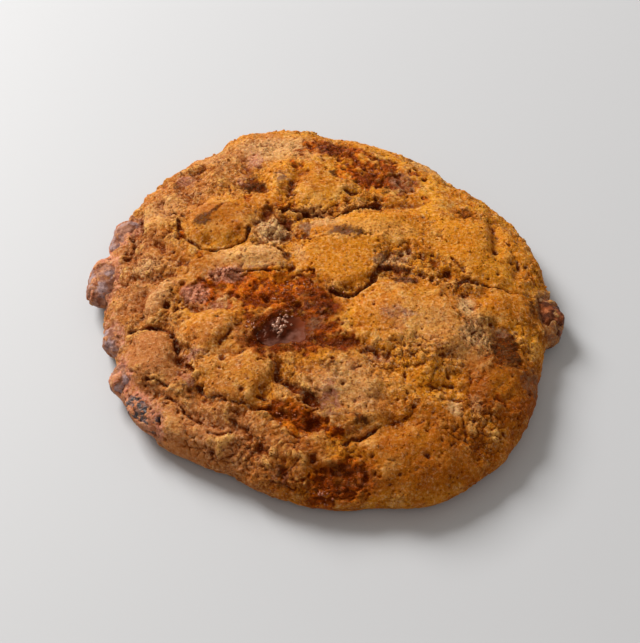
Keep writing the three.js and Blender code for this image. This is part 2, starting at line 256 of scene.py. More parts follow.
# Holes in the crust: (x, y, radius, depth).
HOLES = [
    (-9.3, 6.3, 1.2, 1.3), (-6.2, 20.6, 1.0, 1.0), (-14.8, 22, 1.6, 1.0),
    (-9.6, 18.2, 1.4, 1.2), (-13.4, 13.2, 1.2, 0.8), (-9.4, 12.6, 1.2, 0.9),
    (-14.3, -7.5, 1.0, 1.5), (-6.2, -9.2, 1.0, 1.5), (-7.9, 2.3, 1.0, 1.4),
    (-23.5, -5, 0.9, 1.0), (37.2, -0.7, 1.0, 1.6), (35, -1.3, 0.8, 1.4),
    (32.3, 2, 0.9, 1.3), (28, -0.6, 0.8, 1.2), (36.2, 3, 0.8, 1.0), (46, 11.8, 0.8, 0.9),
    (49.6, 8, 0.8, 0.9), (45.5, 8, 0.6, 0.7), (43, 7.2, 0.5, 0.6), (38, -9.5, 0.7, 0.8),
    (9.5, 34.5, 0.9, 1.1), (18, 33.5, 0.8, 1.0), (25, 33.5, 0.8, 0.9),
    (20.5, 46.5, 1.0, 1.1), (26, 43.5, 0.8, 0.9), (28, 39.5, 0.7, 0.8), (6, 40.5, 0.9, 1.0),
    (3.3, 37, 1.0, 0.9), (37.5, 25, 1.0, 0.8), (-8.5, 33.5, 0.9, 1.0),
    (-17.5, 42, 0.9, 0.9), (-7.5, 41.5, 1.2, 0.7), (-39.6, -8, 0.8, 1.1),
    (-37, -9.6, 0.7, 1.1), (-25, -26, 0.8, 0.9), (-12.5, -40, 1.1, 0.8),
    (-2.6, -43.8, 2.0, 1.5), (-9.5, -55, 1.1, 1.0), (-15, -49, 1.3, 1.6),
    (-26.5, -48.6, 0.8, 1.1), (-32.4, -33.8, 0.9, 1.0), (-19.6, -35.4, 0.8, 1.0),
    (-2.3, -52.5, 1.0, 1.0), (-13.2, -50, 0.7, 0.9), (20.4, -36.2, 0.6, 0.9),
    (25, -52.3, 0.7, 1.0), (43.6, -43.7, 0.7, 0.9), (42.2, -40.3, 0.5, 0.6),
    (19.8, -42.5, 0.6, 0.8), (12.8, -11, 0.5, 0.7), (10, -57, 0.8, 0.9),
    (22.5, 8.5, 0.8, 0.8),
]

# Stains and patches: (x, y, half length, half width, strength, turn in degrees if any).
CARAMEL_STAINS = [
    (-13, -4.2, 13, 7, 1.0, -6), (-30, -4.4, 7.5, 4.6, 0.8, -10), (-1.5, -9, 4, 6, 1.0),
    (-8, -17, 12, 8, 1.0), (14.5, 40, 12.5, 10, 0.68, -30), (18, 40, 5, 5, 0.7),
    (0, 52, 6, 3.5, 1.0), (8.5, 49.4, 8, 3.4, 0.85, -10), (17, 28.5, 6, 3, 0.3, 20),
    (-9, 25, 3.5, 1.6, 0.5, 10), (-37, 15.5, 2, 3.5, 0.35, 20), (-6, -42, 7, 4, 0.9, -25),
    (-12.5, -40, 3, 1.5, 0.7), (2.5, -46.5, 2.4, 1.6, 0.9), (6, -50.5, 4.5, 3, 0.4),
    (5, -57, 7.5, 3.6, 1.0), (-0.5, -60.5, 3, 3, 1.0), (-31, 8.5, 4, 1.6, 0.4, -20),
    (2.5, -22, 5, 2.5, 0.85), (6, -21.5, 3, 1.5, 0.7, -10), (-7.5, 41.5, 2.5, 2.5, 0.6),
    (-7, 47.5, 2, 2.5, 0.5), (-20, 27, 1.5, 3.5, 0.5), (43, -34, 3, 3.5, 0.4),
    (-4.5, -36.5, 4, 1.2, 0.5, -42),
]
DARK_CARAMEL = [
    (-9.5, -17.5, 11.5, 7, 1.0), (1, -11, 3.4, 4.6, 1.0), (-2.5, -8, 5, 5, 0.85),
    (3.5, -22.6, 5, 2.4, 1.0), (5, -57, 8, 4, 0.8), (-2.5, -14.5, 3.5, 3, 0.7),
    (-5.5, -42, 5, 3, 0.5, -25), (-12.5, -40, 3, 1.6, 0.45), (2, 51, 5.5, 3.5, 1.0),
    (17, 40, 6, 5, 0.4, -20),
]
# Rows at (-9.6, 12.4), (-14.6, 22), (-9.4, 18), (3.3, 37), (-2.4, -44) and (-9.5, -55) lie over holes
# and darken them, partly as chocolate and partly as painted shade.
CHOCOLATE_PATCHES = [
    (-28.3, 22.6, 3.6, 0.9, 0.8, 53), (-31.2, 19.2, 3, 2, 0.8, 60),
    (-19, 33.4, 3.8, 3.2, 1.0), (-19, 38.4, 2.4, 3, 0.45), (-38, 39.4, 3.2, 1.6, 0.7, 30),
    (-10.5, 31.5, 3, 3, 0.4), (-26.5, 39, 3, 2.5, 0.35), (5.6, 13.4, 4.4, 1.9, 0.92, 3),
    (-4.3, 13.5, 1.4, 2.4, 0.6), (-9.6, 12.4, 2.4, 1.6, 0.5, 30),
    (-14.6, 22, 3, 2.6, 0.6, 20), (-9.4, 18, 2, 2.4, 0.9), (17, 7, 3.4, 1.0, 0.7, 8),
    (16.4, 2.2, 3.2, 1.3, 0.7, 12), (38, 25, 2.6, 2, 0.6), (-44, -35, 3.4, 3, 0.5, -30),
    (20.6, 1.3, 2, 1.0, 0.7), (21, -1.9, 2.8, 1.6, 1.1), (1.5, -39.4, 2.6, 3, 0.8),
    (14.5, -25.5, 4, 2, 0.4, -20), (18, 37, 6, 6, 0.75), (3.3, 37, 1.6, 2, 0.7),
    (46, -20.5, 3.6, 5.4, 1.2), (42.5, -12.6, 2.4, 1.6, 0.6), (51.2, -28, 2.6, 4.6, 0.5),
    (55, -5.5, 2, 5, 0.6), (8.8, -43.5, 1.8, 2, 0.8), (2, -29.8, 2.4, 1.8, 0.6),
    (-33, -32.6, 2.5, 3.5, 0.6, 30), (-2.4, -44, 2, 2, 0.5), (-9.5, -55, 1.6, 2.2, 0.9),
    (38.5, -36, 1.6, 3, 0.3), (-4.5, -35.5, 5.5, 1.6, 0.6, -42), (22, 36, 4, 3, 0.5),
]
BLOOM_PATCHES = [
    (2, -37.6, 3, 4.6, 0.5), (-33.5, -29.6, 2.2, 3.2, 0.55, 20),
    (-31.8, -24, 2.6, 2.2, 0.75), (-11.4, 36.4, 2.6, 2.6, 0.7),
    (-4.6, 16, 1.8, 2.6, 0.9, 10), (18, 5.2, 5, 2.4, 0.6, 10), (5.5, 14, 4.6, 2.6, 0.45),
    (-31.5, 18.6, 3, 2.2, 0.3, 60), (21.6, -1.4, 3, 2, 0.4), (-25, 0.8, 4.4, 2.2, 0.95),
    (-32.6, -5.4, 3.8, 3.2, 0.85), (-27, -9, 3.5, 1.6, 0.6), (-18, 2.3, 6, 0.5, 0.6, 2),
    (22, 36, 5, 5, 0.6), (-18.6, 45.6, 2.8, 3.6, 0.75), (-22, 37, 2.4, 3, 0.6),
    (-37.5, 38.5, 3, 3, 0.7), (-13, 15.6, 4.4, 3.6, 0.35), (19, -14, 4, 2, 0.65),
    (14, -26, 4, 1.8, 0.6, -25), (-9.5, -55, 3, 2, 0.4), (-3, -16.5, 5, 2.2, 0.6, 50),
    (44.8, -15, 2.6, 1.6, 0.8), (51.6, -28.4, 2.4, 3.6, 0.6), (5, -57, 7, 4, 0.2),
    (-41, -34, 2, 3, 0.35, 30),
]
GOLDEN_PATCHES = [
    # The row at (15, 15.6) brightens the shaded front slope of the long ridge as painted light.
    (4, 3.5, 10, 9, 0.3, -10), (15, 15.6, 13, 4, 0.7, 6), (40, 11, 15, 13, 0.35),
    (-28.5, -3, 3, 1.7, 1.0), (-9, 43, 4, 4, 0.8), (6.5, 42, 4, 4.5, 0.75),
    (24, -31, 10, 7, 0.3), (4.5, -50.5, 4, 3, 0.5), (44.5, -31, 4, 5, 0.3),
    (-1, -25.5, 5, 2.2, 0.6), (47, -4, 4, 3, 0.25), (14, 31, 4, 2.5, 0.5),
    (-16.5, 35, 3, 3, 0.4), (-8.5, 25, 3, 1.6, 0.5), (38, 3, 6, 4, 0.35),
    (28, 4, 5, 4, 0.35), (-20, -13, 2.5, 2, 0.5), (51, -19, 3, 5, 0.2),
]
PALE_PATCHES = [
    (-18.5, 6.6, 8.5, 3.6, 0.5, 4), (-15.5, 3.2, 6.5, 1.1, 0.5, 3),
    # The row at (14, 14.8) brightens the shaded front slope of the long ridge as painted light.
    (-42, -5, 6, 2.2, 0.3, 58), (0.4, 16.8, 6, 1.5, 0.5, 4), (14, 14.8, 12, 3, 0.2, 5),
    (17.5, 5.2, 4.4, 1.2, 0.6, 10), (-13, 15.4, 4.4, 4, 0.85), (-46, 6, 3.4, 3, 0.4),
    (6, -35, 9, 6, 0.28), (-6, 7, 1.2, 3.5, 0.4, 20), (22, 8, 2, 0.7, 0.7, 10),
    (36, -9, 2.2, 3.4, 0.8, 5), (31.8, -39.4, 1.6, 2.4, 0.7, 10), (37, -38, 1.4, 2.6, 0.3),
    # Rows at (-12, 50), (-27, 48) and (30, 48) pale the back edge as a painted sheen.
    (29, -19, 12, 7, 0.23, -20), (38.5, -18, 4.4, 5, 0.6), (-12, 50, 10, 6, 0.5),
    (-27, 48, 7, 5, 0.15), (30, 48, 7, 4, 0.3, -40), (-2, 22, 4, 2.5, 0.3),
    (-43, 26, 5, 6, 0.25),
]
# Where the pool's caramel is rougher and takes a violet-grey painted sheen.
CARAMEL_FILM_SHEEN = [
    (-11, -21.2, 5, 1.4, 0.45, 8), (-5.5, -18.4, 5, 1.8, 0.7, 40),
]
SMOOTH_PLATES = [
    (4, 3.5, 9.5, 8, 1.0, -10), (14, 18, 17, 3, 0.8, 12), (41, 11, 13, 11, 0.8),
    (46, -8, 8, 5, 1.0, 20), (20, -11, 15, 8, 1.0, -10), (-28, -17, 6.5, 6, 0.9),
    (-27, 19, 8.5, 9, 0.85, 12), (-1, 33, 6, 8, 0.9), (21, -52, 14, 7, 0.8, 10),
    (-22, -31, 8, 6, 0.8, -30), (5, -34, 8, 5, 0.5), (-43, -22, 5, 7, 0.7),
    (-19.5, 6, 10, 4, 1.0, 4), (-30, -37, 14, 7, 0.6, -30), (32, -39.4, 3.4, 4, 0.8),
    (-46, -34, 5, 8, 0.6, 30), (-42, -6, 7, 2.5, 0.9, 58), (30, 30, 8, 8, 0.5),
]
BROWNED = [
    (46, -32, 14, 13, 1.0), (-45, -25, 8, 10, 0.6), (-38, -46, 14, 4, 0.7, -30),
    (-32, 40, 14, 8, 0.3, 35), (42, 12, 10, 9, 0.35), (28, -50, 24, 12, 0.7, 15),
    (50, -6, 9, 8, 0.35), (38, 25, 3.5, 2.5, 1.0), (38, -14, 6, 3, 0.3),
    # Rows at (-3, 22) and (9, 24.2) darken the ground along the crack behind the long ridge as
    # painted shade.
    (46, 19, 2.5, 4, 0.5), (49, 7, 4, 3, 0.4), (-3, 22, 9, 1.4, 0.6, -6),
    (9, 24.2, 7, 1.4, 0.6, 24), (4, 3.5, 10, 9, 0.15, -10), (-27, 19, 9, 8, 0.55),
    (-1, 34, 7, 8, 0.35), (-2, -54, 24, 9, 0.75), (-8, -44, 14, 7, 0.4, -20),
    (30, 12, 8, 6, 0.2), (-32, 5, 7, 4, 0.5), (-47, -5, 3, 5, 0.5),
    (-49, 13, 5, 4, 0.5, 60), (-14, 22, 4, 5, 0.5), (34, -4, 4, 5, 0.35),
]
DUSKY = [
    (-52, 8, 13, 30, 0.9, 15), (-38, 34, 20, 12, 0.6, 35), (-22, 50, 20, 8, 0.6, 10),
    (-44, -26, 13, 18, 0.9, 25), (-28, -44, 18, 9, 1.0, -25), (-8, -47, 10, 6, 0.3, -15),
    (-24, -24, 12, 14, 0.5), (2, -36, 14, 12, 0.5), (22, -12, 12, 9, 0.25),
    (-28, -4, 9, 7, 0.8),
]
CRUMBLY_ZONES = [
    (26, -32, 9, 6, 0.12, 20), (18, -26, 12, 4, 0.3, -10), (38, -19, 4.5, 5, 0.65),
    (32.5, -26, 4, 3, 0.4), (2, 22, 14, 2.6, 0.9, 8), (-47, 6, 8, 7, 0.5, 60),
    (-14, 13, 6, 5, 0.8), (30, 3, 8, 5, 0.8), (-24, -40, 12, 7, 0.3, -30),
    (-37, -28, 7, 5, 0.2), (-26, 34, 12, 7, 0.45), (-36, 39, 9, 6, 0.5, 35),
    (0, -25, 9, 4, 0.5, -20), (-10, -52, 10, 7, 0.4), (-16, -55, 12, 6, 0.5),
    (-38, -9, 4, 4, 0.7), (-42, -34, 6, 5, 0.5), (36, -44, 7, 6, 0.4),
]

# Patches that only colour the crust: (spots, how soft and how ragged their edges are, seed).
COLOUR_PATCHES = {
    "chocolate": (CHOCOLATE_PATCHES, 0.45, 0.4, 43),
    "pale": (PALE_PATCHES, 0.5, 0.3, 45),
    "browned": (BROWNED, 0.6, 0.3, 51),
    "dusky": (DUSKY, 0.7, 0.3, 57),
    "golden": (GOLDEN_PATCHES, 0.5, 0.4, 59),
}

# ---- Numbers ----

SCATTER = (374761393, 668265263, 2246822519, 3266489917)  # large primes that mix a cell's place
LOW_32_BITS = np.uint64(0xFFFFFFFF)
LOW_24_BITS = np.uint64(0xFFFFFF)
BYTE = 255  # the largest
CELL_NUMBERS = 1009  # how many numbers the cells are given
WAVE_REACH = 1.6  # brings the waves to about -1 to 1
FAR = 9.0  # in cells, further than any seed
CORNERS = [(i, j, k) for i in (0, 1) for j in (0, 1) for k in (0, 1)]
AROUND = [(i, j, k) for i in (-1, 0, 1) for j in (-1, 0, 1) for k in (-1, 0, 1)]


def smoothstep(low, high, value):
    t = np.clip((value - low) / (high - low), 0.0, 1.0)
    return t * t * (3.0 - 2.0 * t)


def lattice_hash(cell, seed):
    """A fixed whole number from 0 to 2^24 for each lattice cell."""
    x, y, z, last = SCATTER
    mixed = cell.astype(np.uint64) + np.uint64(4096)
    n = mixed[..., 0] * np.uint64(x) + mixed[..., 1] * np.uint64(y)
    n += mixed[..., 2] * np.uint64(z) + np.uint64(seed * last)
    n &= LOW_32_BITS
    for shift, prime in ((15, z), (13, last)):
        n = ((n ^ (n >> np.uint64(shift))) * np.uint64(prime)) & LOW_32_BITS
    return ((n ^ (n >> np.uint64(16))) & LOW_24_BITS).astype(np.int64)


def unit_vectors(count):
    rng = np.random.default_rng(11)
    v = rng.normal(size=(count, 3))
    return (v / np.linalg.norm(v, axis=1)[:, None]).astype(np.float32)


SLOPES = unit_vectors(BYTE + 1)


def waves(points, size, seed):
    """Smooth noise from about -1 to 1, with bumps of that size."""
    p = (points / size).astype(np.float32)
    cell = np.floor(p).astype(np.int64)
    f = p - cell
    blend = f * f * f * (f * (f * 6.0 - 15.0) + 10.0)
    total = np.zeros(len(p), dtype=np.float32)
    for corner in CORNERS:
        offset = np.array(corner)
        slope = SLOPES[lattice_hash(cell + offset, seed) & BYTE]
        value = np.einsum("ij,ij->i", slope, f - offset.astype(np.float32))
        share = np.prod(np.where(offset == 1, blend, 1.0 - blend), axis=1)
        total += value * share
    return total * WAVE_REACH


def cells(points, size, seed):
    """Scattered cells: how far the nearest and second seeds are, in mm, and the cell's number."""
    p = (points / size).astype(np.float32)
    cell = np.floor(p).astype(np.int64)
    first = np.full(len(p), FAR, dtype=np.float32)
    second = first.copy()
    number = np.zeros(len(p), dtype=np.float32)
    for step in AROUND:
        near = cell + np.array(step)
        key = lattice_hash(near, seed)
        spot = near + np.stack([(key >> shift) & BYTE for shift in (0, 8, 16)], axis=1) / BYTE
        distance = np.linalg.norm(spot.astype(np.float32) - p, axis=1)
        closer = distance < first
        second = np.where(closer, first, np.minimum(second, distance))
        number = np.where(closer, (key % CELL_NUMBERS) / CELL_NUMBERS, number)
        first = np.where(closer, distance, first)
    return first * size, second * size, number.astype(np.float32)


def billow(points, size, seed):
    """Rounded swells of that size with sharp creases between them, from 0 in the creases."""
    return np.abs(waves(points, size, seed))


def patch(points, spots, soft, ragged=0.25, seed=40):
    """How strongly each point lies in any of the elliptical spots, with uneven edges."""
    wander = ragged * (waves(points, 5.0, seed) + 0.6 * waves(points, 2.2, seed + 1))
    wander += 0.5 * ragged * waves(points, 1.1, seed + 2)
    strength = np.zeros(len(points), dtype=np.float32)
    for x, y, half_length, half_width, most, *turn in spots:
        angle = math.radians(turn[0] if turn else 0)
        c = math.cos(angle)
        s = math.sin(angle)
        dx = points[:, 0] - x
        dy = points[:, 1] - y
        across = np.hypot((dx * c + dy * s) / half_length, (dy * c - dx * s) / half_width)
        inside = most * (1.0 - smoothstep(1.0 - soft, 1.0 + soft, across + wander))
        strength = np.maximum(strength, inside)
    return strength


def distance_to_path(points, path):
    nearest = np.full(len(points), 1e3)
    for (ax, ay), (bx, by) in zip(path, path[1:]):
        dx = bx - ax
        dy = by - ay
        t = ((points[:, 0] - ax) * dx + (points[:, 1] - ay) * dy) / (dx * dx + dy * dy)
        t = np.clip(t, 0.0, 1.0)
        gap = np.hypot(points[:, 0] - ax - t * dx, points[:, 1] - ay - t * dy)
        nearest = np.minimum(nearest, gap)
    return nearest


# ---- Meshes ----


def link(name, bm):
    """The bmesh as an object of that name."""
    mesh = bpy.data.meshes.new(name)
    bm.to_mesh(mesh)
    bm.free()
    obj = bpy.data.objects.new(name, mesh)
    bpy.context.scene.collection.objects.link(obj)
    return obj


def merged(node):
    """A CAD node's mesh with its loose triangles joined up."""
    bm = bmesh.new()
    bm.from_mesh(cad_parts[node].data)
    bmesh.ops.remove_doubles(bm, verts=bm.verts, dist=MERGE * MM)
    return bm


def apply_modifier(obj, kind, **settings):
    modifier = obj.modifiers.new(kind.title(), kind)
    for key, value in settings.items():
        setattr(modifier, key, value)
    graph = bpy.context.evaluated_depsgraph_get()
    finished = bpy.data.meshes.new_from_object(obj.evaluated_get(graph))
    obj.modifiers.clear()
    obj.data = finished


def places(mesh):
    """The vertices in millimetres, from the dough's axis."""
    flat = np.empty(len(mesh.vertices) * 3, dtype=np.float32)
    mesh.vertices.foreach_get("co", flat)
    return flat.reshape(-1, 3) / MM - DOUGH_AXIS.astype(np.float32)


def put_places(mesh, points):
    flat = ((points + DOUGH_AXIS) * MM).astype(np.float32).ravel()
    mesh.vertices.foreach_set("co", flat)
    mesh.update()


def normals(mesh):
    flat = np.empty(len(mesh.vertices) * 3, dtype=np.float32)
    mesh.vertex_normals.foreach_get("vector", flat)
    return flat.reshape(-1, 3)


def put_attribute(mesh, name, values):
    layer = mesh.attributes.new(name, "FLOAT", "POINT")
    layer.data.foreach_set("value", values.astype(np.float32))


def shade_smooth(mesh):
    mesh.polygons.foreach_set("use_smooth", np.ones(len(mesh.polygons), dtype=bool))
    mesh.update()


# ---- The crust ----


def crack_depth(points, wander):
    """Depth of the cracks below the crust, and how near the nearest crack is."""
    depth = np.zeros(len(points), dtype=np.float32)
    near = np.zeros(len(points), dtype=np.float32)
    uneven = np.clip(0.75 + 0.55 * waves(points, 4.5, 34), 0.3, 1.1)
    for most, half_width, path in CRACKS:
        gap = np.abs(distance_to_path(points, path) + min(1.0, half_width) * wander)
        own = CRACK_WIDTH * half_width * (0.6 + 0.5 * uneven)
        depth = np.maximum(depth, CRACK_DEPTH * most * uneven * np.exp(-((gap / own) ** 2)))
        near = np.maximum(near, (most / 2.0) ** 2 * np.exp(-((gap / LIP_WIDTH) ** 2)))
    return depth, np.minimum(near, 1.0)


def fold_depth(points, wander, folds):
    depth = np.zeros(len(points), dtype=np.float32)
    for most, half_width, path in folds:
        gap = np.abs(distance_to_path(points, path) + 1.3 * wander)
        depth = np.maximum(depth, most * np.exp(-((gap / half_width) ** 1.6)))
    return depth


def hole_depth(points, wander):
    depth = np.zeros(len(points), dtype=np.float32)
    for x, y, radius, most in HOLES:
        gap = np.abs(np.hypot(points[:, 0] - x, points[:, 1] - y) + 0.6 * wander)
        depth = np.maximum(depth, most * np.exp(-((gap / radius) ** 2.4)))
    return depth


def scattered_pits(points, size, share, radius, depth, seed):
    """Round pits in that share of the cells."""
    first, _, number = cells(points, size, seed)
    own_radius = radius * (0.6 + number / share * 0.8)
    return np.where(number < share, depth * np.exp(-((first / own_radius) ** 2)), 0.0)


def granules(points, size, seed):
    """Rounded crumbs packed side by side, from 0 in the gaps to 1 on their tops."""
    first, second, number = cells(points, size, seed)
    dome = 1.0 - smoothstep(0.15, 0.8, first / size)
    gap = smoothstep(0.0, 0.22, (second - first) / size)
    return dome * gap * (0.5 + 0.5 * number)


def thin_lines(points, size, width, seed):
    """1 along the borders between scattered cells of that size, and 0 away from them."""
    first, second, _ = cells(points, size, seed)
    return np.exp(-(((second - first) / width) ** 2))


def crust_relief(points, up, to_pool, to_pool_rim, to_chunk, to_dark):
    """Relief of the crust along its normals, in mm, and the masks that colour it."""
    # Warped places keep the noise from looking regular, and edges wander by the broken edge.
    shift = np.stack([waves(points, 4.0, seed) for seed in (21, 22, 23)], axis=1)
    warped = points + 0.9 * shift
    wander = BROKEN_EDGE * (waves(points, 2.4, 31) + 0.55 * waves(points, 1.1, 32))

    # Where the caramel, the bloom, the crumbly ground and the smooth plates lie.
    caramel = patch(points, CARAMEL_STAINS, 0.4, 0.45, 41)
    crumbs_in_it = waves(warped, 3.0, 61) + 0.5 * waves(points, 1.5, 62)
    broken = smoothstep(-0.35, 0.35, crumbs_in_it + 2.4 * (caramel - 0.5))
    caramel = smoothstep(0.0, 0.3, caramel) * broken
    dark = patch(points, DARK_CARAMEL, 0.5, 0.5, 64)
    bloom = patch(points, BLOOM_PATCHES, 0.6, 0.4, 66)
    crumbly = patch(points, CRUMBLY_ZONES, 0.5, 0.4, 47)
    smooth = patch(points, SMOOTH_PLATES, 0.3, 0.3, 49)
    cracks, near = crack_depth(points, wander)
    sunk = np.maximum(cracks, hole_depth(points, wander))
    rough = 0.42 + 0.4 * waves(points, 7.0, 2) + 0.55 * crumbly + 0.35 * near - 0.5 * smooth
    rough = np.clip(rough, *ROUGH_LIMITS)

    # Broad rises, rounded lumps, folds and swells, packed crumbs, grain, and lips of cracks.
    relief = 0.6 * waves(points, 9.0, 3) + (0.25 + 0.35 * rough) * waves(warped, 4.6, 4)
    relief += (0.45 + 0.6 * rough) * (1.1 * billow(warped, 7.0, 24) - 0.3)
    relief += rough * (1.2 * billow(warped, 3.6, 5) + 0.5 * billow(points, 1.8, 6) - 0.44)
    relief -= FOLD_DEPTH * fold_depth(points, wander, FOLDS)
    relief += fold_depth(points, wander, SWELLS)
    relief += rough * (0.56 * granules(warped, 2.7, 16) + 0.42 * granules(warped, 1.5, 17) - 0.37)
    relief += (0.12 + 0.2 * rough) * billow(points, 0.9, 7)
    relief += LIP_RISE * near

    # Thin seams in broken ground, crackle beside the cracks, and pits.
    seams = thin_lines(warped, 7.0, SEAM_WIDTH, 8)
    seams *= smoothstep(0.0, 0.5, waves(points, 13.0, 9) + 0.3 * crumbly) * (1.0 - 0.6 * smooth)
    relief -= SEAM_DEPTH * np.minimum(rough + 0.2, 1.0) * seams
    crackle = thin_lines(warped, 2.5, CRACKLE_WIDTH, 10)
    crackle *= smoothstep(0.1, 0.6, waves(points, 9.0, 11) + 0.9 * crumbly + 0.3 * near)
    relief -= CRACKLE_DEPTH * crackle * (1.0 - 0.75 * smooth**2)
    for row in CRUST_PITS:
        relief -= scattered_pits(points, *row)

    # The sponge of the boiled caramel, then the cracks and holes.
    froth = 0.6 * billow(warped, 3.8, 14) + 0.8 * billow(points, 2.2, 15)
    froth += 0.35 * waves(warped, 3.6, 18) + 0.3 * billow(points, 1.1, 19)
    relief += caramel * (froth - 0.8) - caramel * scattered_pits(warped, *SPONGE_PITS)
    relief -= sunk

    # Low relief on the sides and none underneath.
    side = smoothstep(-0.75, -0.2, up)
    relief *= (0.12 + 0.88 * side) * (0.65 + 0.35 * smoothstep(0.1, 0.6, up))

    # The bare pool with its uneven shore.
    shore = 2.0 * waves(points, 4.6, 54) + 0.9 * waves(points, 1.8, 55)
    at_pool = (1.0 - smoothstep(-1.2, 1.2, to_pool_rim + shore)) * (up > 0.3)
    relief *= 0.3 + 0.7 * smoothstep(0.0, 4.5, to_pool_rim)
    relief = relief * (1.0 - at_pool) - POOL_DIP * at_pool
    rim = (1.0 - smoothstep(0.0, 2.4, to_pool_rim + 0.7 * shore)) * (up > 0.3)
    wet = np.maximum(dark, 1.0 - smoothstep(0.5, 3.5, to_pool + 1.4 * shore))

    # The torn skin over the pieces baked in, in streaks along the edge over the dark one.
    at_chunk = 1.0 - smoothstep(0.5, 1.6, to_chunk)
    tear = waves(points, 4.0, 52) + 0.5 * waves(points, 1.8, 53)
    along_edge = points @ np.array(ALONG_EDGE, dtype=np.float32)
    streaks = 0.9 * waves(along_edge, 1.6, 56) + 0.9 * waves(points, 1.1, 58) + 0.48
    tear = np.where(to_dark < 2.0, streaks, tear)
    cover = smoothstep(-0.05, 0.3, tear)
    skin = cover * (0.35 * relief - 0.1) - SKIN_DIP * (1.0 - cover)
    relief = relief * (1.0 - at_chunk) + at_chunk * skin

    stained = 1.0 - smoothstep(0.4, 4.0, to_chunk)
    masks = {name: patch(points, *how) for name, how in COLOUR_PATCHES.items()}
    masks["bloom"] = np.maximum(bloom, 0.75 * stained)
    masks["caramel"] = np.maximum(caramel, np.maximum(dark, 1.0 - smoothstep(0.4, 2.2, to_pool)))
    # The crack mask darkens cracks, holes, the pool's rim and seams as painted shade.
    masks["crack"] = np.maximum(sunk / 1.5, np.maximum(0.45 * rim, 0.2 * seams))
    masks["rough"] = rough
    masks["wet"] = wet
    masks = {name: mask * side for name, mask in masks.items()}
    masks["browned"] = np.maximum(masks["browned"], 0.8 * (1.0 - side))
    return relief, masks


def even_out(mesh, values, rounds):
    """The values averaged over neighbours again and again."""
    ends = np.empty(len(mesh.edges) * 2, dtype=np.int64)
    mesh.edges.foreach_get("vertices", ends)
    ends = ends.reshape(-1, 2)
    count = len(values)
    degree = np.bincount(ends.ravel(), minlength=count)
    for _ in range(rounds):
        total = np.bincount(ends[:, 0], values[ends[:, 1]], count)
        total += np.bincount(ends[:, 1], values[ends[:, 0]], count)
        values = 0.5 * values + 0.5 * total / np.maximum(degree, 1)
    return values


def crust_skin():
    """A closed skin over the dough and over the pieces baked into it."""
    bm = merged("cookie")
    for node in ["caramel_pool", "caramel_lump"] + CHUNKS:
        swollen = link(node + "_swollen", merged(node))
        mesh = swollen.data
        put_places(mesh, places(mesh) + normals(mesh) * SKIN_OVER_PIECES)
        bm.from_mesh(mesh)
        bpy.data.objects.remove(swollen)
    skin = link("crust", bm)
    apply_modifier(skin, "REMESH", mode="VOXEL", voxel_size=VOXEL * MM)
    apply_modifier(skin, "SMOOTH", factor=0.5, iterations=12)
    return skin


def distance_to_nodes(points, *nodes):
    """Distance of each point to the nearest of these CAD solids, or 99 where that is far off."""
    distance = np.full(len(points), 99.0, dtype=np.float32)
    for node in nodes:
        low, high = (np.array(corner) / MM - DOUGH_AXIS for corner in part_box(node))
        close = np.all((points > low - REACH) & (points < high + REACH), axis=1)
        bm = merged(node)
        tree = BVHTree.FromBMesh(bm)
        bm.free()
        for i in np.nonzero(close)[0]:
            found = tree.find_nearest((points[i] + DOUGH_AXIS) * MM)
            distance[i] = min(distance[i], found[3] / MM)
    return distance


def beyond_opening(points):
    """How far each point lies beyond the bare part of the caramel pool, in mm."""
    x, y, half_length, half_width = POOL_OPENING
    across = np.hypot((points[:, 0] - x) / half_length, (points[:, 1] - y) / half_width)
    return (across - 1.0) * half_width


def make_crust():
    """The dough's closed skin with its cracks, pits, sponge and grain as real relief."""
    crust = crust_skin()
    apply_modifier(crust, "SUBSURF", levels=1, render_levels=1)
    mesh = crust.data
    points = places(mesh)
    out = normals(mesh)
    relief, masks = crust_relief(
        points, out[:, 2], distance_to_nodes(points, "caramel_pool"), beyond_opening(points),
        distance_to_nodes(points, "caramel_lump", *CHUNKS), distance_to_nodes(points, CHUNKS[-1]),
    )
    for name, rounds in SUNKEN.items():
        masks[name] = even_out(mesh, relief, rounds) - relief
    moved = points + out * relief[:, None]
    moved[:, 2] = np.maximum(moved[:, 2], FLOOR_LINE)
    moved[:, 2] -= 0.5 * np.maximum(moved[:, 2] - HIGH_LINE, 0.0)
    tree = KDTree(len(moved))
    for i, place in enumerate(moved):
        tree.insert(place, i)
    tree.balance()
    put_places(mesh, moved)
    triangles = 2 * len(mesh.polygons)
    apply_modifier(crust, "DECIMATE", ratio=min(1.0, CRUST_TRIANGLES / triangles))
    mesh = crust.data
    nearest = np.array([tree.find(place)[1] for place in places(mesh)])
    for name, mask in masks.items():
        put_attribute(mesh, name, mask[nearest])
    shade_smooth(mesh)
    return crust


